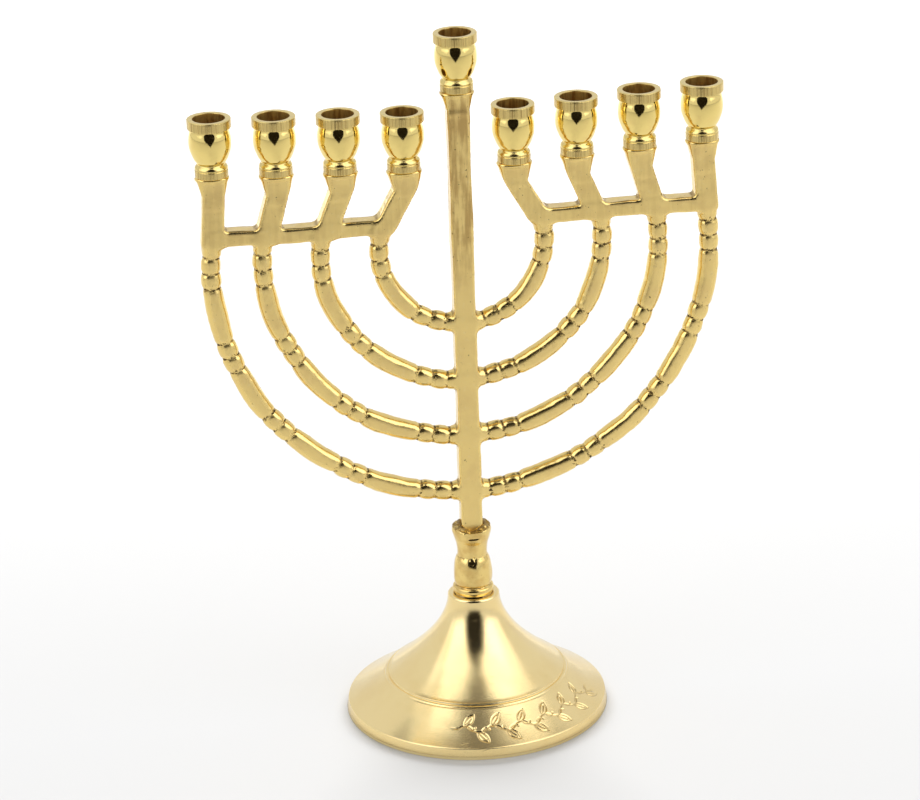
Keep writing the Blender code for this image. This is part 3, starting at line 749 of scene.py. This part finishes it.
def casting(x, y, z):
    """Distance to the whole casting, how far a place lies in an inner corner, and how far in a groove. The post,
    arms, bar and stubs are united with fillets, the front and back are filed flush, the lips are added, and then
    a small unevenness, least on the filed faces, and the studs' holes."""
    heads = head_places()
    width = np.abs(x + 0.12 * np.sin(z / 9.0 + 1.0))
    post = rounded_section(x, y, POST_HALF_WIDTH + 0.10 * np.sin(z / 6.5), POST_HALF_DEPTH, POST_EDGE)
    post = np.maximum(post, TENON_BOTTOM - z)
    post = np.maximum(post, z - heads[0][1] + HEAD_HEIGHT)
    soft = hard = post
    groove = 0.0
    for arm in range(ARMS):
        body, cut = arm_body(x, y, z, arm)
        groove = np.maximum(groove, cut * (body < 1.0))
        soft, hard = soft_union(soft, body, ARM_FILLET), np.minimum(hard, body)
    bar = rounded_section(z - BAR_CENTRE - 0.25 * np.sin(x / 7.0), y, BAR_HALF_HEIGHT, BAR_HALF_DEPTH, 0.7)
    bar = np.maximum(bar, np.maximum(STUB_FEET[0] - width, width - STUB_FEET[-1]))
    soft, hard = soft_union(soft, bar, BAR_FILLET), np.minimum(hard, bar)
    feet = [(0.0, heads[0][1] - 2 * HEAD_HEIGHT)] + [(foot, BAR_CENTRE - 3.0) for foot in STUB_FEET]
    for (place, top), (foot_x, foot_z) in zip(heads, feet):
        stub = stub_body(np.abs(x), y, z, place, top, foot_x, foot_z)
        soft, hard = soft_union(soft, stub, STUB_FILLET if place else 0.4), np.minimum(hard, stub)
    under_heads = np.clip((np.where(width < 9, heads[0][1], heads[1][1]) - HEAD_HEIGHT - z) / 2, 0, 1)
    soft = soft_cut(soft, np.abs(y) - FACE - 2.0 * (1 - under_heads), 0.3)
    for place, top in heads:
        lip = lip_body(np.abs(x), y, z, place, top)
        soft, hard = soft_union(soft, lip, 0.5), np.minimum(hard, lip)
    faced = np.clip((np.abs(y) - 2.2) / 0.7, 0, 1)
    lumps = 0.07 * ripple(x, y, z, 7.0, 3) + 0.035 * ripple(x, y, z, 2.6, 4)
    below_heads = z < np.where(width < 9, heads[0][1], heads[1][1]) - 1.5
    soft = soft + lumps * (1 - 0.75 * faced) * below_heads
    for place, top in heads:
        for side in (-1, 1) if place else (1,):
            hole = np.hypot(x - side * place, y) - STUD_HOLE
            soft = np.maximum(soft, -np.maximum(hole, top - STUD_HOLE_DEPTH - z))
    return soft, np.clip((hard - soft) / 0.35, 0, 1), groove


def skin_of(shape, low, high, cell):
    """The surface where the shape's distance is zero, as four-cornered faces: one point in every cell of a grid
    that the surface crosses, at the mean of the crossings of the cell's edges, and one face for every grid edge
    that crosses it. Cells far from the surface, found on a grid three times coarser, are left out."""
    counts = np.ceil((np.array(high) - low) / cell / 3).astype(int) * 3 + 1
    axes = [low[i] + cell * np.arange(counts[i]) for i in range(3)]
    coarse = shape(*np.meshgrid(*[axis[1::3] for axis in axes], indexing="ij"))[0]
    value = np.full(counts, 9.0)
    blocks = np.repeat(np.repeat(np.repeat(coarse, 3, 0), 3, 1), 3, 2)
    value[:blocks.shape[0], :blocks.shape[1], :blocks.shape[2]] = blocks
    close = np.nonzero(np.abs(value) < cell * 4.2)
    value[close] = shape(*(axes[i][close[i]] for i in range(3)))[0]
    inside = value < 0
    corner_sets = [(i, j, k) for i in (0, 1) for j in (0, 1) for k in (0, 1)]
    sizes = [n - 1 for n in counts]
    filled = sum(inside[i:i + sizes[0], j:j + sizes[1], k:k + sizes[2]].astype(np.int8)
                 for i, j, k in corner_sets)
    cells = np.nonzero((filled > 0) & (filled < 8))
    index = np.full(sizes, -1)
    index[cells] = np.arange(len(cells[0]))
    total, crossings = np.zeros((len(cells[0]), 3)), np.zeros(len(cells[0]))
    for a in corner_sets:
        for axis in range(3):
            if a[axis] == 0:
                b = tuple(1 if i == axis else a[i] for i in range(3))
                va = value[cells[0] + a[0], cells[1] + a[1], cells[2] + a[2]]
                vb = value[cells[0] + b[0], cells[1] + b[1], cells[2] + b[2]]
                crossed = (va < 0) != (vb < 0)
                share = np.where(crossed, va / np.where(crossed, va - vb, 1), 0)
                spot = np.array(a) + share[:, None] * (np.array(b) - a)
                total += spot * crossed[:, None]
                crossings += crossed
    points = np.array(low) + cell * (np.stack(cells, axis=1) + total / crossings[:, None])
    faces = []
    for axis in range(3):
        u, v = (axis + 1) % 3, (axis + 2) % 3
        ends = [np.take(inside, np.arange(first, counts[axis] - 1 + first), axis) for first in (0, 1)]
        place = np.stack(np.nonzero(ends[0] != ends[1]), axis=1)
        place = place[(place[:, u] > 0) & (place[:, v] > 0)]
        place = place[(place[:, u] < sizes[u]) & (place[:, v] < sizes[v])]
        ring = []
        for du, dv in ((-1, -1), (0, -1), (0, 0), (-1, 0)):
            near = place.copy()
            near[:, u] += du
            near[:, v] += dv
            ring.append(index[near[:, 0], near[:, 1], near[:, 2]])
        ring = np.stack(ring, axis=1)
        leaving = ends[0][place[:, 0], place[:, 1], place[:, 2]]
        faces.append(np.where(leaving[:, None], ring, ring[:, ::-1]))
    return points, np.concatenate(faces)


def slope_of(shape, points, step=0.03):
    """The shape's distance at the points, and its slope by differences along the three axes."""
    x, y, z = points.T
    slope = np.stack([
        shape(x + step, y, z)[0] - shape(x - step, y, z)[0],
        shape(x, y + step, z)[0] - shape(x, y - step, z)[0],
        shape(x, y, z + step)[0] - shape(x, y, z - step)[0]], axis=1) / (2 * step)
    return shape(x, y, z)[0], slope


def neighbour_mean(points, edges):
    """The mean of each point's neighbours along the edges."""
    count = np.bincount(edges.ravel(), minlength=len(points))
    sums = [np.bincount(edges[:, 0], points[edges[:, 1], i], len(points))
            + np.bincount(edges[:, 1], points[edges[:, 0], i], len(points)) for i in range(3)]
    return np.stack(sums, axis=1) / count[:, None]


def casting_shape():
    """The branch frame's surface: the grid's skin, evened out and drawn back onto the true shape."""
    node_low, node_high = (np.array(corner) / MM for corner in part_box("branch_frame"))
    points, faces = skin_of(casting, node_low - SKIN_MARGIN, node_high + SKIN_MARGIN, CELL)
    edges = np.concatenate([faces[:, [0, 1]], faces[:, [1, 2]], faces[:, [2, 3]], faces[:, [3, 0]]])
    for evening in (0.5, 0.5, 0.25):
        points = points + evening * (neighbour_mean(points, edges) - points)
        distance, slope = slope_of(casting, points)
        size = np.maximum((slope**2).sum(1), 0.05)
        points = points - slope * np.clip(distance / size, -CELL / 2, CELL / 2)[:, None]
    distance, slope = slope_of(casting, points)
    normal = slope / np.linalg.norm(slope, axis=1)[:, None]
    bend = ((neighbour_mean(points, edges) - points) * normal).sum(1)
    _, corner, groove = casting(*points.T)
    x, _, z = points.T
    on_post = np.clip((9 - np.abs(x)) / 3, 0, 1)
    fields = {
        "filed": np.clip((np.abs(normal[:, 1]) - 0.90) / 0.08, 0, 1),
        "crease": np.clip(corner * (np.abs(normal[:, 1]) < 0.8) + bend / 0.06, 0, 1),
        "worn": np.clip(-bend / 0.07, 0, 1),
        "groove": groove,
        "aged": on_post * np.clip((z - 150) / 22, 0, 1) + 0.22 * (1 - on_post) * np.clip((z - 165) / 10, 0, 1),
    }
    return lay_mesh("branch_casting", points, faces.ravel(), np.full(len(faces), 4), fields)


# ---- the room

def soft_box(name, azimuth, elevation, distance, size, watts):
    """A rectangular light in that direction and at that distance from the menorah's middle, shining at it."""
    light = bpy.data.lights.new(name, "AREA")
    light.shape, light.size, light.size_y = "RECTANGLE", size[0], size[1]
    light.energy = watts
    lamp = placed(name, light)
    a, e = math.radians(azimuth), math.radians(elevation)
    away = Vector((math.cos(e) * math.cos(a), math.cos(e) * math.sin(a), math.sin(e)))
    lamp.location = Vector(LIGHTS_AIM) + distance * away
    lamp.rotation_euler = (-away).to_track_quat("-Z", "Y").to_euler()
    return lamp


def card(name, points, faces, colour, only_in_reflections=True, glow=False):
    """A board of the room. A glowing one is lit from behind and sends out its colour itself."""
    mesh = bpy.data.meshes.new(name)
    mesh.from_pydata(points, [], faces)
    board = placed(name, mesh)
    paper = Finish(name + "_paper")
    shader = paper.node("ShaderNodeEmission" if glow else "ShaderNodeBsdfDiffuse", None, {"Color": colour})
    paper.node("ShaderNodeOutputMaterial", None, {"Surface": shader})
    mesh.materials.append(paper.material)
    if only_in_reflections:
        board.visible_camera = board.visible_diffuse = board.visible_shadow = False
    return board


def make_camera():
    """The camera, given by the direction it stands in, its distance and its small roll."""
    az, el, roll = (math.radians(v) for v in (CAMERA_AZIMUTH, CAMERA_ELEVATION, CAMERA_ROLL))
    right = Vector((math.cos(az), math.sin(az), 0.0))
    back = Vector((math.sin(az) * math.cos(el), -math.cos(az) * math.cos(el), math.sin(el)))
    up = back.cross(right)
    tilted_right = math.cos(roll) * right + math.sin(roll) * up
    tilted_up = -math.sin(roll) * right + math.cos(roll) * up
    lens = bpy.data.cameras.new("camera")
    lens.lens, lens.sensor_width = CAMERA_LENS, 36.0
    lens.dof.use_dof = False
    camera = placed("camera", lens)
    turn = Matrix((tilted_right, tilted_up, back)).transposed().to_4x4()
    camera.matrix_world = Matrix.Translation(Vector(CAMERA_TARGET) + back * CAMERA_DISTANCE) @ turn
    bpy.context.scene.camera = camera


def make_room():
    """A white tent: pale floor, white all round, a tall soft box with a brighter middle to each side, one behind
    that only lights the floor, a dim strip of roof, and the dark mouth of the tent that only the metal sees."""
    world = bpy.data.worlds.new("white_tent")
    bpy.context.scene.world = world
    world.use_nodes = True
    world.node_tree.nodes["Background"].inputs["Color"].default_value = (1.0, 1.0, 1.0, 1.0)
    world.node_tree.nodes["Background"].inputs["Strength"].default_value = 0.50
    sheet = [(x * FLOOR_REACH, y * FLOOR_REACH) for x, y in ((-1, -1), (1, -1), (1, 1), (-1, 1))]
    floor = card("floor", [(x, y, 0) for x, y in sheet], [(0, 1, 2, 3)], (0.66, 0.66, 0.66), False)
    floor.visible_glossy = False
    card("floor_in_metal", [(x, y, 0.001) for x, y in sheet], [(0, 1, 2, 3)], (0.63, 0.62, 0.59))
    facing = -90 + CAMERA_AZIMUTH
    soft_box("soft_box_left", facing - 66, 42, 1.6, (1.5, 2.1), 4.6)
    soft_box("soft_box_right", facing + 69, 42, 1.6, (1.5, 2.1), 6.4)
    soft_box("soft_box_behind", facing + 180, 30, 2.3, (2.7, 1.1), 95.0).visible_glossy = False
    for turn in (-54, 56):
        for size, watts in (((1.0, 1.7), 3.0), ((0.62, 1.3), 1.9)):
            soft_box("hot_centre", facing + turn, 42, 1.55, size, watts).visible_diffuse = False
    a = math.radians(facing)

    def at(far, wide, high):
        """The place that far towards the camera, that wide to its right and that high."""
        return (far * math.cos(a) - wide * math.sin(a), far * math.sin(a) + wide * math.cos(a), high)

    turns = [math.radians(15 * i) for i in range(25)]
    wall = [(TENT_RADIUS * math.cos(t), TENT_RADIUS * math.sin(t), high) for high in (TENT_FOOT, TENT_HEIGHT)
            for t in turns]
    card("tent_wall", wall, [(i, i + 1, i + 26, i + 25) for i in range(24)], (0.80, 0.80, 0.80), glow=True)
    strip = ((0.45, -1), (0.45, 1), (-1.6, 1), (-1.6, -1))
    card("roof_strip", [at(far, side * ROOF_HALF_WIDTH, ROOF_HEIGHT) for far, side in strip], [(0, 1, 2, 3)],
         (0.22, 0.21, 0.20), glow=True)
    mouth = [at(MOUTH_NEAR, 0, MOUTH_LIFT)]
    for turn, rise in ((-21, 0), (-30, 11), (-34, 32), (-30, 51), (-15, 62), (0, 65), (15, 62), (30, 51),
                       (34, 32), (30, 11), (21, 0)):
        turn, rise = math.radians(turn), math.radians(rise)
        mouth.append(at(MOUTH_FAR, MOUTH_FAR * math.tan(turn),
                        max(MOUTH_LIFT, MOUTH_FAR * math.tan(rise) / math.cos(turn))))
    card("tent_mouth", mouth, [(0, 11, 1), tuple(range(1, 12))], (0.012, 0.009, 0.006))
    bpy.context.scene.view_settings.view_transform = "Standard"


# ---- putting it together

def make_menorah():
    """Makes every finish and stands every piece."""
    cup_brass = cup_finish()
    thread_brass = screw_finish("stud_brass", (0.78, 0.60, 0.28), (0.45, 0.30, 0.12))
    steel = screw_finish("fixing_steel", STEEL, (0.30, 0.26, 0.20))
    for number, node in enumerate(CUPS):
        short = node.replace("shamash_cup", "shamash")
        stud = "shamash_stud" if short == "shamash" else short.replace("cup", "cup_stud")
        cup = cup_shape(node, 100 + number)
        stand(f"turned_{node}", cup, cup_brass, f"{short}_body", node)
        thread = threaded(f"thread_{short}", stud, CUP_THREAD_PITCH, CUP_THREAD_DEPTH)
        stand(f"threaded_{stud}", thread, thread_brass, f"{short}_thread", stud)
    stand("cast_branch_frame", casting_shape(), cast_finish(), "stem", "branch_frame")
    stand("turned_baluster", baluster_shape(), baluster_finish(), "stem", "stem_baluster")
    tie = threaded("thread_tie", "tie_stud", TIE_THREAD_PITCH, TIE_THREAD_DEPTH)
    stand("threaded_tie_stud", tie, steel, "stem", "tie_stud")
    stand("spun_foot", foot_shape(), foot_finish(), "foot", "bell_foot")
    stand("stamped_washer", washer_shape(), steel, "foot", "washer")
    stand("chamfered_nut", nut_shape(), steel, "foot", "hex_nut")


make_camera()
make_room()
make_menorah()
